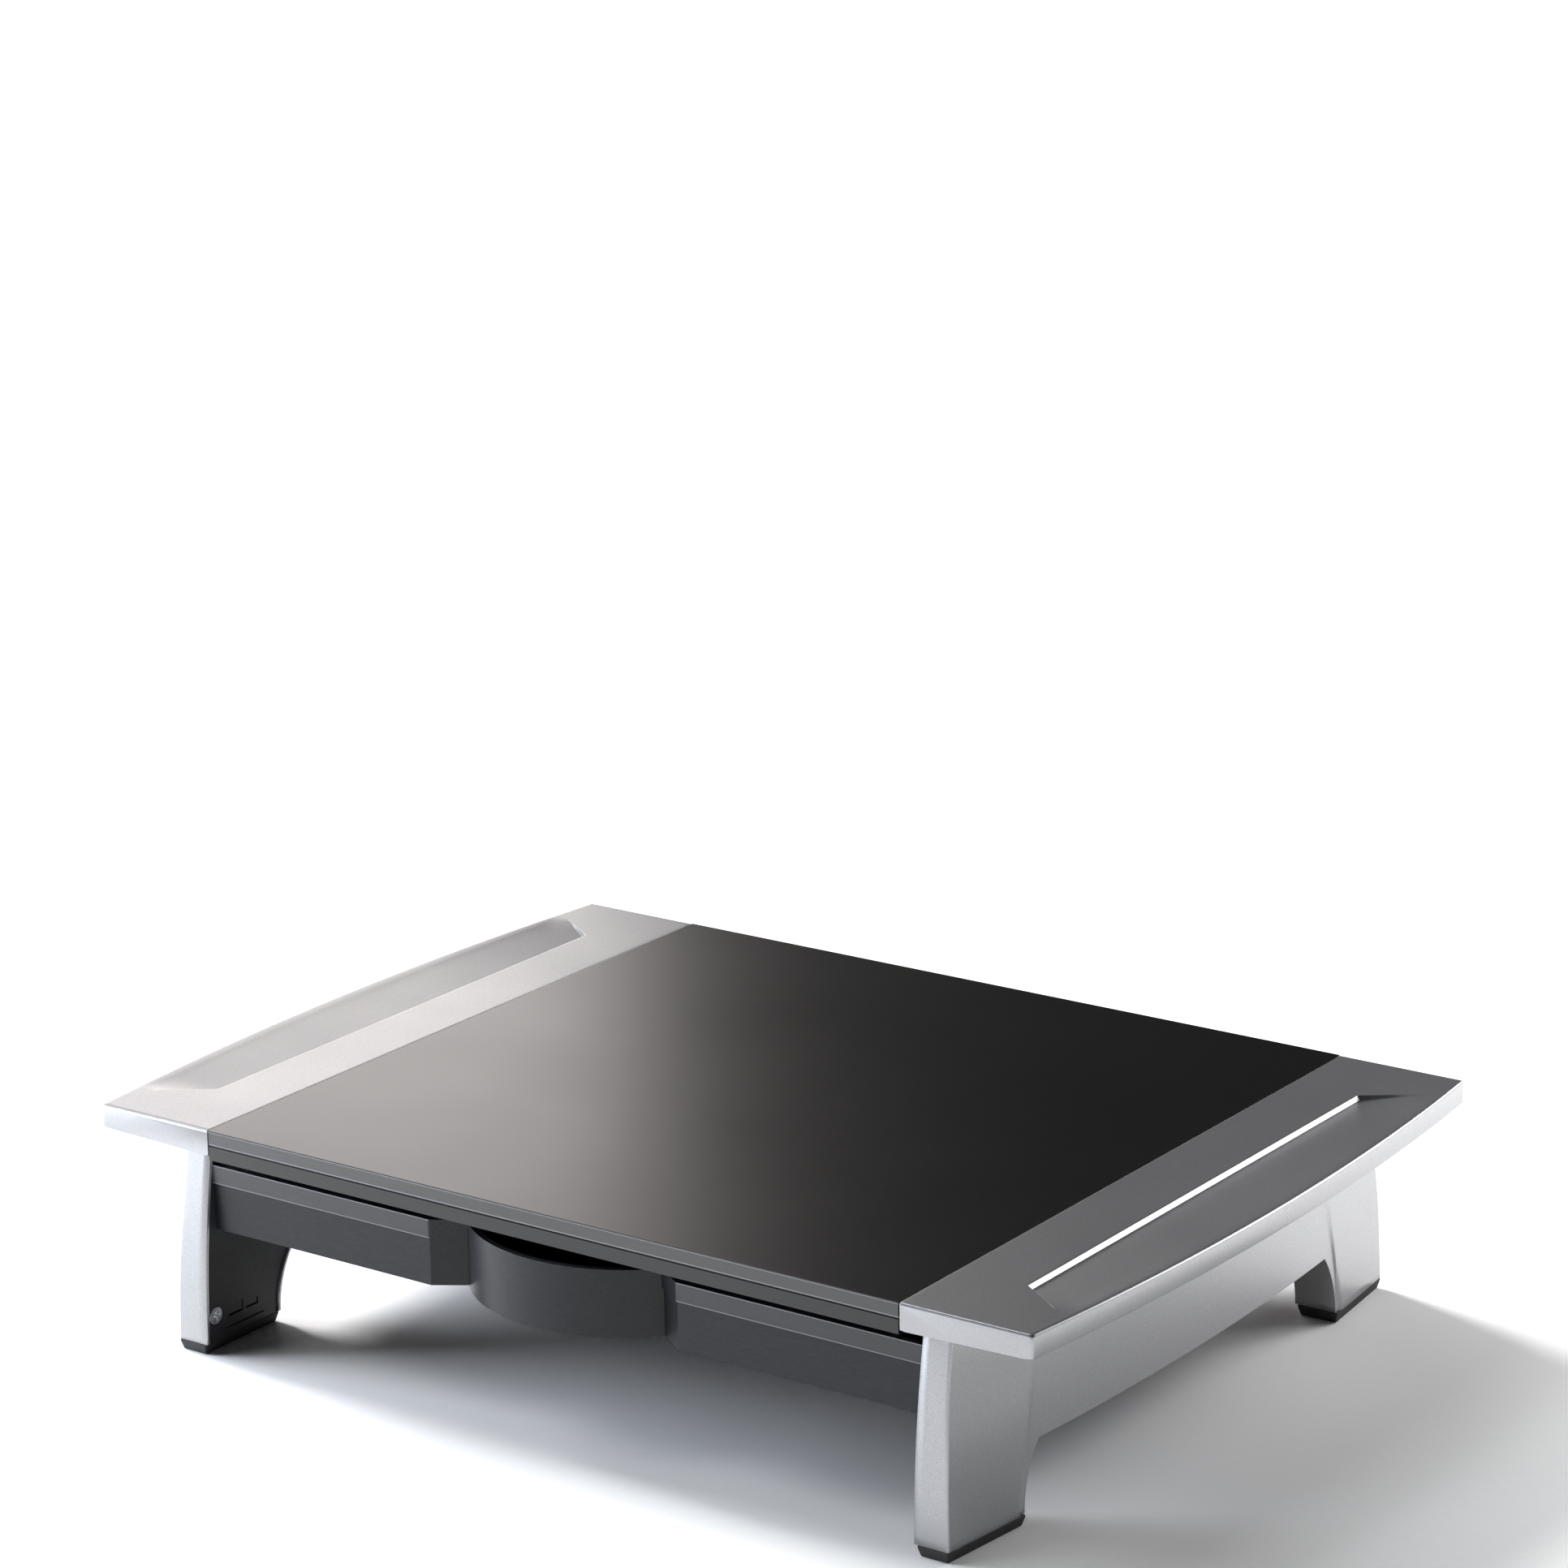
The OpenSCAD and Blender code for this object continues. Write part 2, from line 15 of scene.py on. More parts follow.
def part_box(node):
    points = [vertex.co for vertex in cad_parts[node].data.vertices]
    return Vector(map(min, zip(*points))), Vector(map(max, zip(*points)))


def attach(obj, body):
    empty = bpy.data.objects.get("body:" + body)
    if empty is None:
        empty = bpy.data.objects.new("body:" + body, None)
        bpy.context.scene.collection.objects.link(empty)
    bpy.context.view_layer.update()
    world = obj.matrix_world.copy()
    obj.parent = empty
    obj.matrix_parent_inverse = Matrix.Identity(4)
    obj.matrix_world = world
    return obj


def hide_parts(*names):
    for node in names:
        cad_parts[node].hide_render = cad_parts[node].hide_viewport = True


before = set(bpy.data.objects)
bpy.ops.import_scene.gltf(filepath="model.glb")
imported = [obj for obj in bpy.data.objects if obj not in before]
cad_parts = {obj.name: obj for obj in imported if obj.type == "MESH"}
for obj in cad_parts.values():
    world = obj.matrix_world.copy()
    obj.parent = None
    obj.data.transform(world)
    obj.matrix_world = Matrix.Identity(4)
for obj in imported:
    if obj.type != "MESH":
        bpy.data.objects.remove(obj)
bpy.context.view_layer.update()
print("nodes in the frame:", len(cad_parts))

# %% [markdown]
# ## Names for the measures
# Every place is worked out from the boxes of the frame's own nodes. The few sizes that a box cannot tell,
# such as the depth of the scoop in a wing, are written once, where they are first needed, in millimetres
# turned into metres.

# %% Measures
MM = 0.001
deck_low, deck_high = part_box("deck")
wing_low, wing_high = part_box("wing_cap_right")
shell_low, shell_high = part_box("side_shell_right")
cover_inner_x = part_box("side_cover_right")[0].x
tray_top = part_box("tray")[1].z
mid_y = (wing_low.y + wing_high.y) / 2
half_depth = (wing_high.y - wing_low.y) / 2
top_z = wing_high.z
bow = 10.5 * MM
wing_radius = (half_depth ** 2 + bow ** 2) / (2 * bow)
print("half depth of the deck: %.1f mm" % (half_depth / MM))


def bowed(y, radius=wing_radius):
    """How far a bowed edge has drawn in at y, counted from its widest place."""
    return radius - math.sqrt(radius * radius - y * y)


def smooth_step(low, high, value):
    """0 below low, 1 above high, with a soft turn at both."""
    t = min(max((value - low) / (high - low), 0.0), 1.0)
    return t * t * (3 - 2 * t)


# %% [markdown]
# ## Camera
# The camera looks down on the stand from its right front corner through a long lens, so that the two
# wings stay nearly parallel. It could be aimed with a constraint. Its own axes are written out as a matrix
# instead, because that also gives the slight roll.

# %% Camera
scene = bpy.context.scene
azimuth = math.radians(35.245)
pitch = math.radians(15.918)
roll = math.radians(-0.746)
eye = Vector((1.1918, -1.6586, 0.8298))
ahead = Vector((
    -math.sin(azimuth) * math.cos(pitch),
    math.cos(azimuth) * math.cos(pitch),
    -math.sin(pitch),
))
level_right = Vector((math.cos(azimuth), math.sin(azimuth), 0))
level_up = level_right.cross(ahead)
right = level_right * math.cos(roll) + level_up * math.sin(roll)
up = level_up * math.cos(roll) - level_right * math.sin(roll)
camera_data = bpy.data.cameras.new("camera")
camera_data.lens = 113.17
camera_data.sensor_width = 36
camera_data.shift_x = -0.0192
camera_data.clip_end = 100
camera = bpy.data.objects.new("camera", camera_data)
axes = Matrix((right, up, -ahead)).transposed()
camera.matrix_world = Matrix.Translation(eye) @ axes.to_4x4()
scene.collection.objects.link(camera)
scene.camera = camera
scene.view_settings.view_transform = "Standard"
print("camera is %.2f m from the stand" % eye.length)

# %% [markdown]
# ## Finishes
# Each finish is a small network of nodes. A fine noise makes the grain or the flakes, a broad noise makes
# the slow change that any moulded or painted surface has, and both stay so faint that the eye reads them
# as a material and not as a pattern. Texture places come from the object's own coordinates, in metres, so
# a noise scale of 1000 gives grains a millimetre apart.

# %% Helpers for finishes
def new_material(name):
    """A material with an empty network and a principled shader."""
    material = bpy.data.materials.new(name)
    material.use_nodes = True
    nodes = material.node_tree.nodes
    nodes.clear()
    shader = nodes.new("ShaderNodeBsdfPrincipled")
    output = nodes.new("ShaderNodeOutputMaterial")
    material.node_tree.links.new(shader.outputs["BSDF"], output.inputs["Surface"])
    return material, nodes, material.node_tree.links, shader


def noise(nodes, links, place, scale, detail=3.0, stretch=(1, 1, 1)):
    """A noise texture in object coordinates, stretched along the axes if asked."""
    mapping = nodes.new("ShaderNodeMapping")
    mapping.inputs["Scale"].default_value = stretch
    links.new(place.outputs["Object"], mapping.inputs["Vector"])
    texture = nodes.new("ShaderNodeTexNoise")
    texture.inputs["Scale"].default_value = scale
    texture.inputs["Detail"].default_value = detail
    links.new(mapping.outputs["Vector"], texture.inputs["Vector"])
    return texture.outputs["Fac"]


def between(nodes, links, factor, low, high, margin=0.3):
    """Turns a noise, which seldom leaves margin to 1 - margin, into a number between low and high."""
    span = nodes.new("ShaderNodeMapRange")
    span.inputs["From Min"].default_value = margin
    span.inputs["From Max"].default_value = 1 - margin
    span.inputs["To Min"].default_value = low
    span.inputs["To Max"].default_value = high
    links.new(factor, span.inputs["Value"])
    return span.outputs["Result"]


def shade(nodes, links, factor, dark, light):
    """Mixes two colours by a factor."""
    mix = nodes.new("ShaderNodeMix")
    mix.data_type = "RGBA"
    mix.inputs["A"].default_value = (*dark, 1)
    mix.inputs["B"].default_value = (*light, 1)
    links.new(between(nodes, links, factor, 0, 1), mix.inputs["Factor"])
    return mix.outputs["Result"]


def bump(nodes, links, shader, height, strength, distance):
    """A bump of a given depth, for grain that is too fine to model."""
    node = nodes.new("ShaderNodeBump")
    node.inputs["Strength"].default_value = strength
    node.inputs["Distance"].default_value = distance
    links.new(height, node.inputs["Height"])
    links.new(node.outputs["Normal"], shader.inputs["Normal"])


# %% [markdown]
# ### Silver paint
# The wings and the sides are moulded in plastic and sprayed with a metallic silver. Real metallic paint is
# a clear binder full of tiny flakes that lie nearly flat. It could be two shaders mixed by a noise. One
# metallic shader whose colour and roughness change from flake to flake is cheaper and looks the same here.

# %% Silver paint
FLAKES_PER_METRE = 2600
CLOUDS_PER_METRE = 14
dark_flake = (0.33, 0.333, 0.345)
light_flake = (0.45, 0.453, 0.465)


def silver_paint():
    """Metallic silver, sprayed and then sealed by its own clear binder."""
    material, nodes, links, shader = new_material("silver_paint")
    place = nodes.new("ShaderNodeTexCoord")
    flakes = noise(nodes, links, place, FLAKES_PER_METRE, 1.0)
    cloud = noise(nodes, links, place, CLOUDS_PER_METRE, 2.0)
    colour = shade(nodes, links, flakes, dark_flake, light_flake)
    links.new(colour, shader.inputs["Base Color"])
    links.new(between(nodes, links, cloud, 0.30, 0.40, 0), shader.inputs["Roughness"])
    shader.inputs["Metallic"].default_value = 0.85
    shader.inputs["Coat Weight"].default_value = 0.15
    shader.inputs["Coat Roughness"].default_value = 0.18
    bump(nodes, links, shader, flakes, 0.05, 0.02 * MM)
    return material


silver = silver_paint()
print("silver paint: %d flakes to the metre" % FLAKES_PER_METRE)

# %% [markdown]
# ### Black plastics
# The deck, the tray and the inner covers are the same black resin with three textures from the mould: a
# satin pebble on the deck, a faint draw along the tray's fronts, and a coarser spark finish on the covers.
# The raised band of the tray and the upper half of the deck's front are polished in the mould, so they
# shine more than what lies under them. That could be a second material on some faces. A clear coat that
# starts and stops at a height keeps it in one, and stays sharp at any distance.

# %% Black plastic
# Painted highlights: thin pale lines in the colour along some edges of the deck and the tray stand in for the
# light that those rounded edges catch.
painted_line_half = 0.22 * MM
painted_highlight_colour = (0.16, 0.165, 0.19, 1)


def math_node(nodes, links, operation, *values):
    """One step of arithmetic on numbers or on the outputs of other nodes."""
    node = nodes.new("ShaderNodeMath")
    node.operation = operation
    for socket, value in zip(node.inputs, values):
        if isinstance(value, (int, float)):
            socket.default_value = value
        else:
            links.new(value, socket)
    return node.outputs["Value"]


def black_plastic(name, colours, rough, gloss, grain, stretch=(1, 1, 1), polish=None, painted_highlight_heights=()):
    """Black resin with a moulded grain, given as (grains to the metre, depth).

    polish is (low, high, gloss, x): between those heights and beyond that x the resin is polished.
    At the heights in the last argument, beyond the same x, a thin pale line is painted into the colour: a
    painted highlight for the light that edge would catch.
    """
    material, nodes, links, shader = new_material(name)
    place = nodes.new("ShaderNodeTexCoord")
    grains, depth = grain
    fine = noise(nodes, links, place, grains, 4.0, stretch)
    broad = noise(nodes, links, place, 9, 2.0)
    colour = shade(nodes, links, fine, *colours)
    links.new(between(nodes, links, broad, rough - 0.03, rough + 0.03, 0), shader.inputs["Roughness"])
    shader.inputs["Specular IOR Level"].default_value = gloss
    if polish:
        low, high, polished_gloss, beyond = polish
        split = nodes.new("ShaderNodeSeparateXYZ")
        links.new(place.outputs["Object"], split.inputs["Vector"])
        x, z = split.outputs["X"], split.outputs["Z"]
        aside = math_node(nodes, links, "GREATER_THAN", math_node(nodes, links, "ABSOLUTE", x), beyond)
        in_band = math_node(nodes, links, "COMPARE", z, (low + high) / 2, (high - low) / 2)
        polished = math_node(nodes, links, "MULTIPLY", in_band, aside)
        links.new(math_node(nodes, links, "MULTIPLY", polished, polished_gloss), shader.inputs["Coat Weight"])
        shader.inputs["Coat Roughness"].default_value = rough
        # Painted highlights: a pale line mixed into the colour at each listed edge height.
        for rim in painted_highlight_heights:
            on_painted_highlight = math_node(nodes, links, "COMPARE", z, rim, painted_line_half)
            mix = nodes.new("ShaderNodeMix")
            mix.data_type = "RGBA"
            links.new(math_node(nodes, links, "MULTIPLY", on_painted_highlight, aside), mix.inputs["Factor"])
            links.new(colour, mix.inputs["A"])
            mix.inputs["B"].default_value = painted_highlight_colour
            colour = mix.outputs["Result"]
    links.new(colour, shader.inputs["Base Color"])
    bump(nodes, links, shader, fine, 0.35, depth)
    return material


# %% [markdown]
# ### Four blacks
# Each black is the same resin with its own grain, gloss and tint; the tray's blue tint is partly a painted
# reflection of the cool light from the front. The polish on the deck's front starts at the line that divides
# it, and the polish on the tray starts at the foot of its band and leaves the rounded middle alone. The
# runners are a paler, slippery grade.

# %% The four black finishes
band_edge = tray_top - 8.4 * MM
line_top = deck_low.z + 7.0 * MM
bulge_x = 64.5 * MM
deck_black = black_plastic(
    "deck_satin",
    ((0.003, 0.0029, 0.0028), (0.006, 0.0057, 0.0055)),
    rough=0.24,
    gloss=0.6,
    grain=(1500, 0.02 * MM),
    polish=(line_top, deck_high.z - 1 * MM, 0.75, 0),
    # Painted highlights along the deck's top front edge and along the line across its front.
    painted_highlight_heights=(deck_high.z - 0.75 * MM, line_top + painted_line_half),
)
tray_black = black_plastic(
    "tray_satin",
    # Partly a painted reflection: the blue in these colours stands in for the cool front light that the
    # tray's fronts mirror, on top of the resin's own tint.
    ((0.008, 0.0085, 0.011), (0.014, 0.015, 0.019)),
    rough=0.34,
    gloss=0.32,
    grain=(1100, 0.03 * MM),
    stretch=(0.25, 1, 1),
    polish=(band_edge, tray_top, 0.65, bulge_x),
    # Painted highlights at the foot and at the top of the tray's band.
    painted_highlight_heights=(band_edge + painted_line_half, tray_top - painted_line_half),
)
cover_black = black_plastic(
    "cover_spark",
    ((0.010, 0.010, 0.011), (0.018, 0.0175, 0.018)),
    rough=0.5,
    gloss=0.4,
    grain=(800, 0.07 * MM),
)
runner_grey = black_plastic(
    "runner_smooth",
    ((0.030, 0.031, 0.033), (0.046, 0.047, 0.05)),
    rough=0.42,
    gloss=0.5,
    grain=(1300, 0.04 * MM),
)
print("polished band of the deck's front: %.1f mm high" % ((deck_high.z - line_top) / MM))

# %% [markdown]
# ### Rubber and zinc
# The pads are matt black rubber, which scatters light so evenly that only its dusty bloom shows. The
# screws are steel with bright zinc plate, which is a rough mirror with faint turning marks.

# %% Rubber and zinc
def rubber_finish():
    """Matt black rubber with a dusty bloom."""
    material, nodes, links, shader = new_material("pad_rubber")
    place = nodes.new("ShaderNodeTexCoord")
    dust = noise(nodes, links, place, 320, 5.0)
    colour = shade(nodes, links, dust, (0.012, 0.012, 0.013), (0.03, 0.03, 0.031))
    links.new(colour, shader.inputs["Base Color"])
    links.new(between(nodes, links, dust, 0.68, 0.82), shader.inputs["Roughness"])
    bump(nodes, links, shader, dust, 0.4, 0.1 * MM)
    return material


def zinc_finish():
    """Zinc plate on steel, with faint turning marks."""
    material, nodes, links, shader = new_material("zinc_plate")
    place = nodes.new("ShaderNodeTexCoord")
    marks = noise(nodes, links, place, 900, 3.0)
    colour = shade(nodes, links, marks, (0.66, 0.68, 0.70), (0.84, 0.85, 0.87))
    links.new(colour, shader.inputs["Base Color"])
    links.new(between(nodes, links, marks, 0.18, 0.32), shader.inputs["Roughness"])
    shader.inputs["Metallic"].default_value = 1.0
    bump(nodes, links, shader, marks, 0.2, 0.03 * MM)
    return material


rubber = rubber_finish()
zinc = zinc_finish()
print("finishes made: silver, four blacks, rubber and zinc")

# %% [markdown]
# ## Pieces that keep the frame's shape
# The deck, tray, covers, columns, runners, pads and screws already have their true shape in the frame.
# What they lack is the small radius that every moulded edge has and that catches the light. The meshes
# could be copied and rounded by hand. A chain of modifiers does it without touching them: weld the split
# corners, merge flat faces, round each edge, then weight the normals so that flat faces stay flat.

# %% Rounding the edges of carried pieces
def round_edges(node, radius, material):
    """Gives a carried piece its edge radius and its finish."""
    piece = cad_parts[node]
    weld = piece.modifiers.new("weld", "WELD")
    weld.merge_threshold = 0.01 * MM
    flatten = piece.modifiers.new("flat faces", "DECIMATE")
    flatten.decimate_type = "DISSOLVE"
    flatten.angle_limit = math.radians(0.1)
    edge = piece.modifiers.new("edge radius", "BEVEL")
    edge.width = radius
    edge.segments = 2
    edge.limit_method = "ANGLE"
    edge.angle_limit = math.radians(30)
    normals = piece.modifiers.new("normals", "WEIGHTED_NORMAL")
    normals.weight = 100
    piece.data.materials.clear()
    piece.data.materials.append(material)


carried = {
    "deck": (0.6 * MM, deck_black),
    "tray": (0.6 * MM, tray_black),
    "side_clamp_screws": (0.2 * MM, zinc),
    "runner_screws": (0.2 * MM, zinc),
    "cover_screws": (0.35 * MM, zinc),
}
for side in ("left", "right"):
    carried["side_cover_" + side] = (0.35 * MM, cover_black)
    carried["tray_runner_" + side] = (0.3 * MM, runner_grey)
    for end in ("front", "rear"):
        carried["leg_column_%s_%s" % (end, side)] = (0.4 * MM, cover_black)
        carried["foot_pad_%s_%s" % (end, side)] = (0.6 * MM, rubber)
for node, (radius, material) in carried.items():
    round_edges(node, radius, material)
print("rounded pieces:", len(carried))


# %% [markdown]
# ## A helper that skins a piece
# The wings and side shells have long soft curves, so they are lofted: rings of points are worked out by
# formula and neighbouring rings are joined with quads. The same rings with X turned round make the left
# hand piece, with its faces wound the other way.

# %% Skinning helper
WELD_GAP = 0.002 * MM


def skin(name, points, faces, side, node):
    """One silver piece from points and faces given for the right side."""
    mesh = bpy.data.meshes.new(name)
    mirrored = [(side * x, y, z) for x, y, z in points]
    wound = faces if side > 0 else [tuple(reversed(f)) for f in faces]
    mesh.from_pydata(mirrored, [], wound)
    work = bmesh.new()
    work.from_mesh(mesh)
    bmesh.ops.remove_doubles(work, verts=work.verts, dist=WELD_GAP)
    bmesh.ops.dissolve_degenerate(work, edges=work.edges, dist=WELD_GAP)
    for face in work.faces:
        face.smooth = True
    work.to_mesh(mesh)
    work.free()
    mesh.materials.append(silver)
    piece = bpy.data.objects.new(name, mesh)
    scene.collection.objects.link(piece)
    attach(piece, "riser")
    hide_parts(node)
    return piece


def arc(cx, cz, radius, start, stop, steps):
    """Points on an arc, from one angle to the other in degrees."""
    angles = [math.radians(start + (stop - start) * k / steps) for k in range(steps + 1)]
    return [(cx + radius * math.cos(a), cz + radius * math.sin(a)) for a in angles]


def sharpen(piece, degrees):
    """Faces meet smoothly, except across edges sharper than the angle."""
    work = bmesh.new()
    work.from_mesh(piece.data)
    bmesh.ops.recalc_face_normals(work, faces=work.faces)
    for edge in work.edges:
        if len(edge.link_faces) == 2:
            edge.smooth = edge.calc_face_angle(0) < math.radians(degrees)
    work.to_mesh(piece.data)
    work.free()


# %% [markdown]
# ## Wing caps
# A wing cap is a thin moulded shell. Its outer edge bows, its underside rises towards that edge, and its
# top holds a scoop: a low straight wall, with a floor that climbs from it to the outer edge. It could be
# carved with booleans, but those leave ragged shading on so shallow a hollow. Rings across the wing, one
# for each station from front to back, keep every quad long and clean. Beside each crease of the scoop runs
# a narrow strip, so that the shading turns there and not across the whole flat. The scoop is shown a
# little shallower than it is in the frame, so that its floor shines like the flat beside it.

# %% Wing cap measures
wing_wall = 2.5 * MM
skin_t = 3 * MM
seam_radius = 0.2 * MM
rim_radius = 1.3 * MM
lip_radius = 0.5 * MM
scoop_depth = 3 * MM
scoop_seen = 2.2 * MM
scoop_wall_x = wing_high.x - 40 * MM
scoop_straight = half_depth - 43 * MM
scoop_tip = scoop_straight + 15 * MM
scoop_tip_x = scoop_wall_x + 21.6 * MM
scoop_rim = 2.0 * MM
floor_shares = (0, 0.012, 0.125, 0.25, 0.375, 0.5, 0.625, 0.75, 0.875, 1)
floor_curve = 0.85
# Steps across the scoop's wall: (distance from the wall, share of the depth)
wall_steps = ((-0.9, 0), (-0.5, 0), (-0.1, 0.08), (1.0, 0.93))
wall_foot = 1.3 * MM
edge_h = 10.2 * MM
seam_h = wing_high.z - wing_low.z
shelf_half = half_depth - 26 * MM + 0.4 * MM
shelf_top = top_z - seam_h + 3.6 * MM
end_radius = 1.2 * MM
rise_with_inset = 0.4
print("scoop: %.1f mm deep, %.0f mm long" % (scoop_seen / MM, 2 * scoop_tip / MM))

# %% [markdown]
# ### One ring across the wing
# A ring starts at the seam beside the deck, crosses the top and the scoop, turns down round the outer rim
# and comes back through the hollow under the skin. Near the ends the hollow closes up and the ring draws
# in a little, which rounds the wing's end. Every ring has the same number of points, so they join.

# %% Wing cap section
def underside(x):
    """Height of the wing's lower edge at x."""
    share = (x - wing_low.x) / (wing_high.x - wing_low.x)
    return top_z - seam_h + (seam_h - edge_h) * share


def wing_section(y, inset, hollow, over_shelf):
    """A closed ring of (x, z) points across the wing at y."""
    outer = wing_high.x - bowed(y) - inset
    inner = wing_low.x
    top = top_z - inset
    fade = 1 - min(max((abs(y) - scoop_straight) / (scoop_tip - scoop_straight), 0), 1)
    wall_x = scoop_wall_x + (scoop_tip_x - scoop_wall_x) * (1 - fade)
    depth = scoop_seen * fade
    foot = shelf_top if over_shelf else underside(inner)
    raised = 0 if over_shelf else inset * rise_with_inset
    ring = [(inner, foot + raised)]
    ring += arc(inner + seam_radius, top - seam_radius, seam_radius, 180, 90, 3)
    ring.append((inner + 4 * seam_radius, top))
    ring += [(wall_x + step * MM, top - share * depth) for step, share in wall_steps]
    floor_start = wall_x + wall_foot
    floor_end = outer - scoop_rim
    for share in floor_shares:
        x = floor_start + (floor_end - floor_start) * share
        ring.append((x, top - depth * (1 - share) ** floor_curve))
    ring += arc(outer - rim_radius, top - rim_radius, rim_radius, 80, 0, 5)
    low = underside(outer) + inset * rise_with_inset
    ring += arc(outer - lip_radius, low + lip_radius, lip_radius, 0, -90, 2)
    # The hollow below the skin, closed up where there is none
    far_x = outer - wing_wall
    deep = top_z - skin_t - scoop_depth
    near_roof = top_z - skin_t
    step_x = scoop_wall_x - skin_t
    near_x = inner + wing_wall
    if hollow:
        ring += [(far_x, underside(far_x)), (far_x, deep), (step_x, deep), (step_x, near_roof)]
        ring += [(near_x, near_roof), (near_x, foot)]
    else:
        ring += [(far_x, underside(far_x))] * 2 + [(step_x, underside(step_x))] * 2
        ring += [(near_x, underside(near_x))] * 2
    return ring


# %% [markdown]
# ### Stations from front to back
# The stations stand close together where the shape changes: at the rounded ends, where the hollow starts,
# and where the scoop narrows to its tip. Along the straight middle they only follow the bow.

# %% Wing cap stations
def wing_stations():
    """(y, inset, hollow, over_shelf) for each ring, front to back."""
    ends = []
    for share in (0, 0.12, 0.35, 0.65, 1.0):
        step = share * end_radius
        inset = end_radius - math.sqrt(end_radius ** 2 - (end_radius - step) ** 2)
        ends.append((half_depth - step, inset, False, False))
    ends.append((half_depth - wing_wall, 0, False, False))
    ends.append((half_depth - wing_wall, 0, True, False))
    ends.append((shelf_half, 0, True, False))
    ends.append((shelf_half, 0, True, True))
    ends += [(scoop_tip + (scoop_straight - scoop_tip) * k / 6, 0, True, True) for k in range(7)]
    front = [(-y, inset, hollow, over) for y, inset, hollow, over in ends]
    middle = [(scoop_straight * (k / 20 - 1), 0, True, True) for k in range(1, 40)]
    return front + middle + list(reversed(ends))


def wing_cap(side, label):
    """A wing lofted through its rings, with a face to close each end."""
    stations = wing_stations()
    points, faces = [], []
    for y, inset, hollow, over in stations:
        points += [(x, mid_y + y, z) for x, z in wing_section(y, inset, hollow, over)]
    count = len(points) // len(stations)
    for s in range(len(stations) - 1):
        for k in range(count):
            a, b = s * count + k, s * count + (k + 1) % count
            faces.append((a, a + count, b + count, b))
    faces.append(tuple(range(count)))
    faces.append(tuple(reversed(range(len(points) - count, len(points)))))
    piece = skin("wing_" + label, points, faces, side, "wing_cap_" + label)
    sharpen(piece, 32)
    return piece


wings = [wing_cap(-1, "left"), wing_cap(1, "right")]
print("faces in one wing cap:", len(wings[0].data.polygons))

# %% [markdown]
# ## Side shells
# A side shell wraps round three sides of a leg and the long side of the stand, with an arch cut out of its
# bottom. Its plan is a wide U, its ends curve out towards the foot, it leans in a little, and each leg
# stands just proud of the web between the legs along a soft crease. A grid does all this: columns follow
# the U, and rows run from the top down to the arch. A solidify modifier then gives the wall its thickness.

# %% Side shell measures
shell_wall = 2.2 * MM
corner = 1.4 * MM
foot_z = shell_low.z
shell_top = shell_high.z
lean = 3 * MM
end_curve = 500 * MM
arch_radius = 44.7 * MM
arch_top = 34.2 * MM
shell_mid_x = shell_high.x + lean * (arch_top - foot_z) / (shell_top - foot_z)
shell_radius = wing_radius - (wing_high.x - shell_mid_x)
arch_foot = half_depth - 49.1 * MM
arch_mid = arch_foot - arch_radius
arch_turn = math.asin((arch_top - foot_z) / arch_radius)
proud = 0.9 * MM
crease_foot = 131.5 * MM
crease_slope = 0.205
crease_half = 0.7 * MM
crease_ends = (38 * MM, 72 * MM)
print("arch: %.1f mm high" % (arch_top / MM))


# %% [markdown]
# ### The surface of a side
# One formula gives the outer surface at any place: the bow of the wing above it, less the lean, with the
# legs a little proud of the web. The crease between them slants, and fades out before it meets the wing.

# %% Side shell surface
def end_y(z):
    """How far the leg's end stands from the middle at height z."""
    rise = z - foot_z
    return half_depth - (end_curve - math.sqrt(end_curve ** 2 - rise ** 2))


def shell_x(y, z):
    """The outer surface, with the legs a little proud of the web."""
    leaned = lean * (z - foot_z) / (shell_top - foot_z)
    crease = crease_foot - crease_slope * z
    step = smooth_step(crease - crease_half, crease + crease_half, abs(y))
    fade = 1 - smooth_step(*crease_ends, z)
    return shell_mid_x - proud - bowed(y, shell_radius) - leaned + proud * step * fade


def shell_columns():
    """The columns of one half, from the end face to the middle: (kind, value, lowest height)."""
    columns = [("face", share, foot_z) for share in (0, 0.3, 0.6, 0.85, 1.0)]
    columns += [("corner", k / 6, foot_z) for k in range(1, 6)]
    columns += [("leg", k / 27, foot_z) for k in range(27)]
    for k in range(10):
        turn = arch_turn * k / 9
        columns.append(("arch", turn, foot_z + arch_radius * math.sin(turn)))
    half = arch_mid + arch_radius * math.cos(arch_turn)
    columns += [("web", half * (1 - k / 14), arch_top) for k in range(1, 15)]
    return columns


def column_point(kind, value, z):
    """Where a column stands at height z, on the front half: (x, distance from the middle)."""
    reach = end_y(z)
    edge_x = shell_x(reach - corner, z)
    if kind == "face":
        return cover_inner_x + (edge_x - corner - cover_inner_x) * value, reach
    if kind == "corner":
        a = math.radians(90 - 90 * value)
        return edge_x - corner + corner * math.cos(a), reach - corner + corner * math.sin(a)
    if kind == "leg":
        y = reach - corner + (arch_foot - reach + corner) * value
    elif kind == "arch":
        y = arch_mid + arch_radius * math.cos(value)
    else:
        y = value
    return shell_x(y, z), y


# %% [markdown]
# ### The mesh of a side
# The grid is the outer surface alone. A plate closes its top, and a flange lines the arch as far as the
# inner cover. The edges get their radius first and the wall its thickness after, so that the wall follows
# the rounded edge as it does in a moulding.

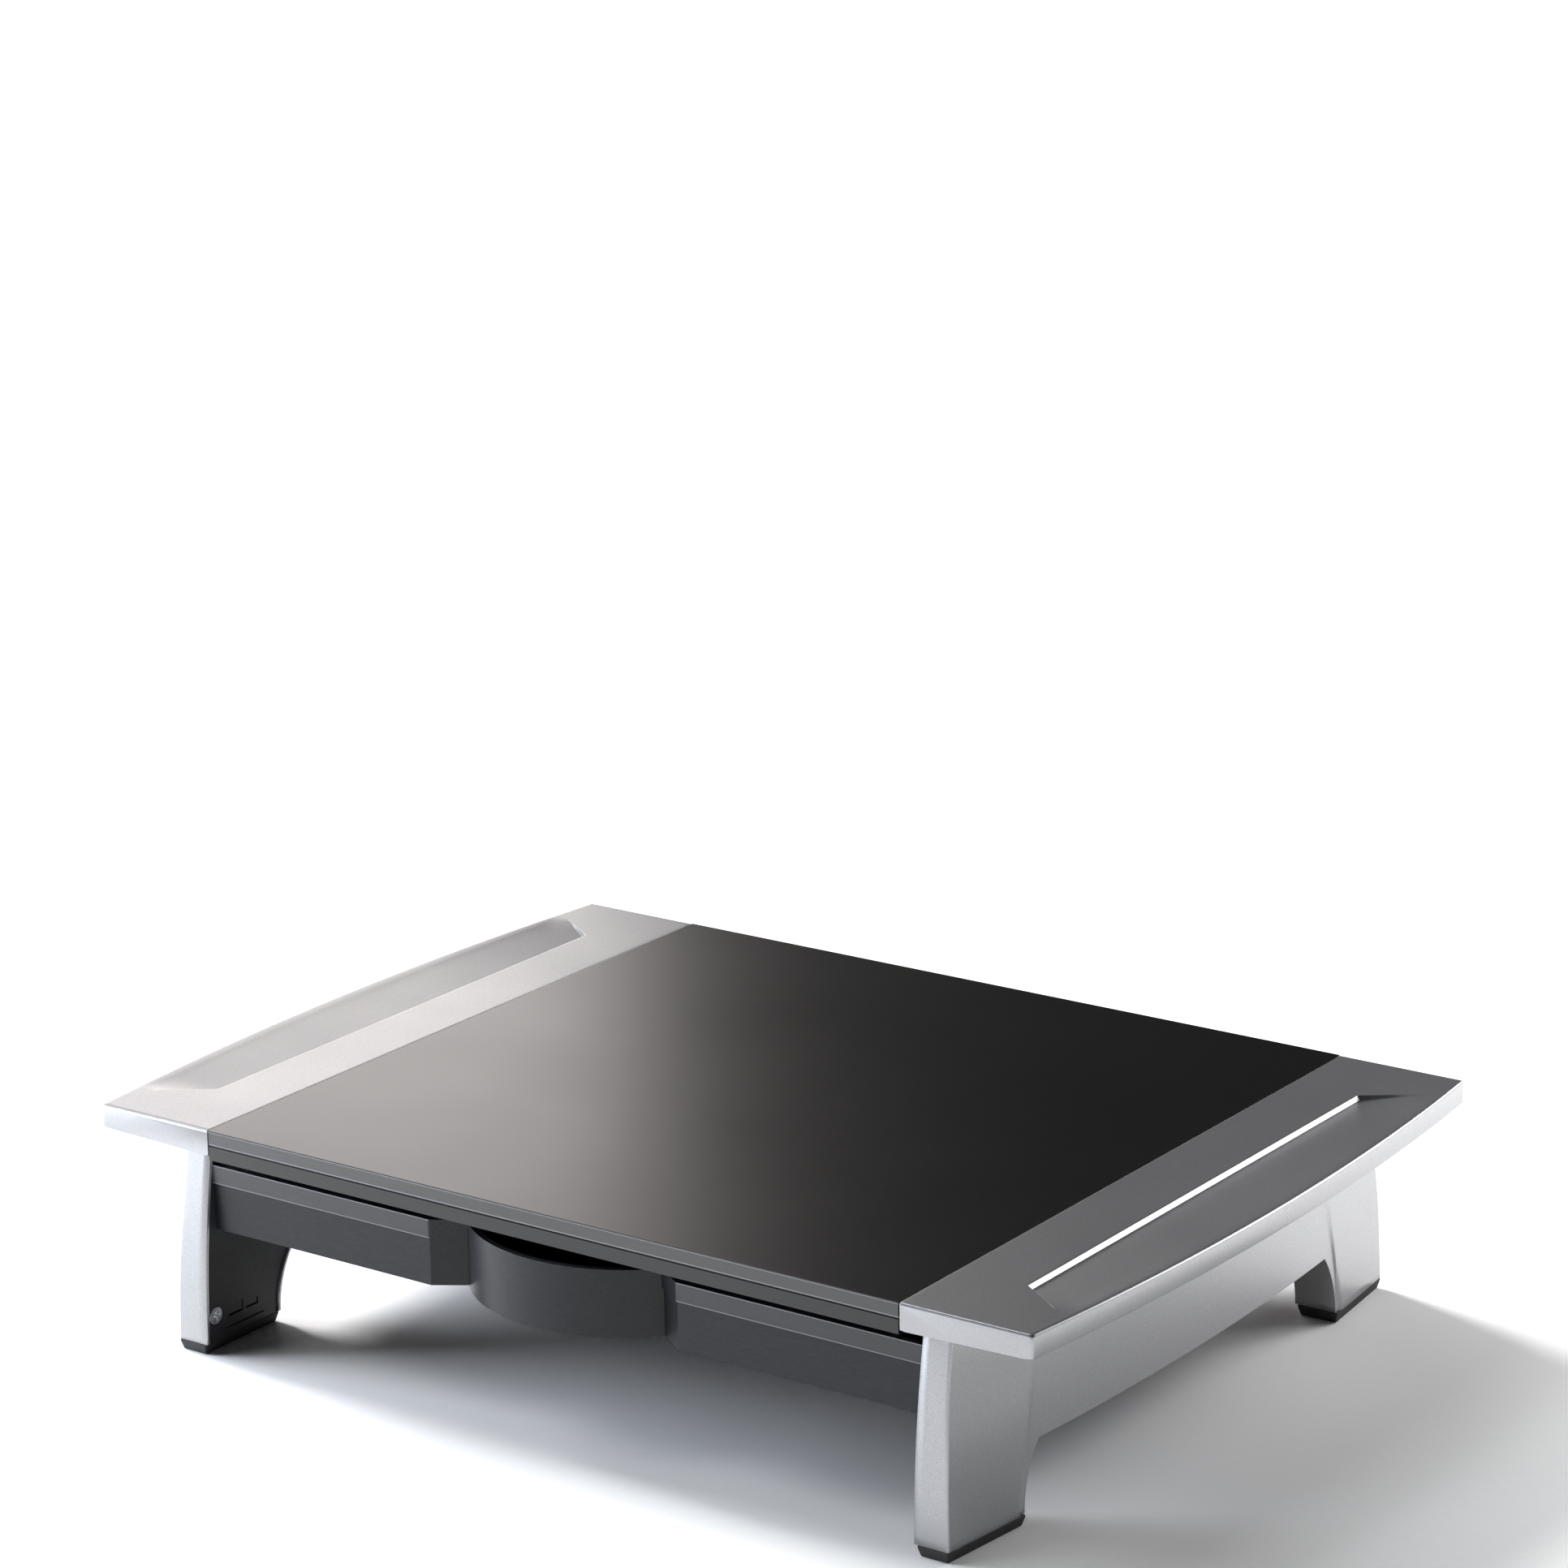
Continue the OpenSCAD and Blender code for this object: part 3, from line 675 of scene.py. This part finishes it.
# %% Side shell mesh
def side_shell(side, label):
    """A side shell as a grid of columns and rows, with its top plate and its flange."""
    rows = 26
    half = shell_columns()
    columns = [(c, -1) for c in half] + [(c, 1) for c in reversed(half[:-1])]
    points, faces = [], []
    for (kind, value, low), way in columns:
        for r in range(rows + 1):
            z = shell_top + (low - shell_top) * r / rows
            x, y = column_point(kind, value, z)
            points.append((x, mid_y + way * y, z))
    tall = rows + 1
    for c in range(len(columns) - 1):
        for r in range(rows):
            a = c * tall + r
            faces.append((a, a + 1, a + tall + 1, a + tall))
    # The top plate, and the flange that lines the arch
    faces.append(tuple(c * tall for c in range(len(columns))))
    lined = [c for c, (column, way) in enumerate(columns) if column[0] in ("arch", "web")]
    first = len(points)
    for c in lined:
        x, y, z = points[c * tall + rows]
        points.append((cover_inner_x, y, z))
    for k in range(len(lined) - 1):
        low, high = lined[k] * tall + rows, lined[k + 1] * tall + rows
        faces.append((low, first + k, first + k + 1, high))
    piece = skin("side_" + label, points, faces, side, "side_shell_" + label)
    sharpen(piece, 40)
    outward = max(piece.data.polygons, key=lambda f: side * f.center.x)
    if outward.normal.x * side < 0:
        piece.data.flip_normals()
    edge = piece.modifiers.new("edge radius", "BEVEL")
    edge.width = 0.5 * MM
    edge.segments = 2
    edge.limit_method = "ANGLE"
    edge.angle_limit = math.radians(40)
    wall = piece.modifiers.new("wall", "SOLIDIFY")
    wall.thickness = shell_wall
    wall.offset = -1
    wall.use_even_offset = False
    normals = piece.modifiers.new("normals", "WEIGHTED_NORMAL")
    normals.weight = 60
    normals.keep_sharp = True
    return piece


shells = [side_shell(-1, "left"), side_shell(1, "right")]
print("faces in one side shell:", len(shells[0].data.polygons))

# %% [markdown]
# ## Stage and light
# The stand is shown on a plain pale floor. The light comes from the left, as from a row of windows: it
# rakes over the tops and leaves the right side to reflect a softly shaded floor. A weaker light from
# the front keeps the floor pale. One large panel stands far behind on the left, where only the left
# wing and the near part of the deck mirror it. Smaller ones at the front left, at the back right and over
# the floor there draw the fronts and the right side, and the sky stays dim, so that black stays black.

# %% Floor
def floor_finish():
    """Pale paper with a faint fibre."""
    material, nodes, links, shader = new_material("floor_paper")
    place = nodes.new("ShaderNodeTexCoord")
    fibre = noise(nodes, links, place, 220, 2.0)
    colour = shade(nodes, links, fibre, (0.93, 0.93, 0.93), (0.95, 0.95, 0.95))
    links.new(colour, shader.inputs["Base Color"])
    shader.inputs["Roughness"].default_value = 0.9
    shader.inputs["Specular IOR Level"].default_value = 0.1
    return material


floor_mesh = bpy.data.meshes.new("floor")
reach = 15.0
corners = [(-reach, -reach, 0), (reach, -reach, 0), (reach, reach, 0), (-reach, reach, 0)]
floor_mesh.from_pydata(corners, [], [(0, 1, 2, 3)])
floor_mesh.materials.append(floor_finish())
floor = bpy.data.objects.new("floor", floor_mesh)
scene.collection.objects.link(floor)
print("floor: %.0f m across" % (2 * reach))

# %% [markdown]
# ### Lights
# Two distant lights make the floor pale and throw the one soft shadow. Silver would mirror them as a glare,
# so they are kept out of its reflections, and panels are placed for it to mirror instead. Each panel is
# hidden from the camera.

# %% Lights
def panel(name, place, size, power, colour, aim=(0, 0, 0.06)):
    """A soft panel light, hidden from the camera and aimed at the stand unless aim says otherwise."""
    data = bpy.data.lights.new(name, "AREA")
    data.shape = "RECTANGLE"
    data.size, data.size_y = size
    data.energy = power
    data.color = colour
    lamp = bpy.data.objects.new(name, data)
    lamp.location = place
    lamp.rotation_euler = (Vector(aim) - Vector(place)).to_track_quat("-Z", "Y").to_euler()
    lamp.visible_camera = False
    scene.collection.objects.link(lamp)


def sun(name, toward, strength, spread, colour):
    """A distant soft light from the given direction, which the silver doesn't mirror as a glare."""
    data = bpy.data.lights.new(name, "SUN")
    data.energy = strength
    data.angle = math.radians(spread)
    data.color = colour
    lamp = bpy.data.objects.new(name, data)
    lamp.rotation_euler = Vector(toward).to_track_quat("Z", "Y").to_euler()
    lamp.visible_glossy = False
    scene.collection.objects.link(lamp)


sun("left_light", (-0.80, 0.12, 0.50), 5.0, 16, (1.0, 0.99, 0.98))
sun("front_light", (-0.45, -0.35, 0.82), 0.6, 26, (0.96, 0.98, 1.0))
panel("back_left", (-4.22, 2.67, 1.18), (3.4, 2.4), 75, (1.0, 0.94, 0.92))
panel("front_left", (-1.25, -0.66, 0.36), (0.7, 0.45), 29, (0.84, 0.90, 1.0), (-0.35, -0.42, 0))
panel("back_right", (0.85, 1.85, 0.98), (0.9, 0.7), 13, (1.0, 1.0, 1.0))
panel("floor_glow", (0.66, 0.74, 0.40), (0.5, 0.5), 4.6, (1.0, 1.0, 1.0), (0.56, 0.62, 0))
panel("top_left", (-1.3, -0.15, 1.85), (0.4, 0.8), 13, (0.96, 0.98, 1.0))
sky_strength = 0.03
world = bpy.data.worlds.new("sky")
world.use_nodes = True
sky = world.node_tree.nodes["Background"]
sky.inputs["Color"].default_value = (1, 1, 1, 1)
sky.inputs["Strength"].default_value = sky_strength
scene.world = world
print("lights:", len(bpy.data.lights))
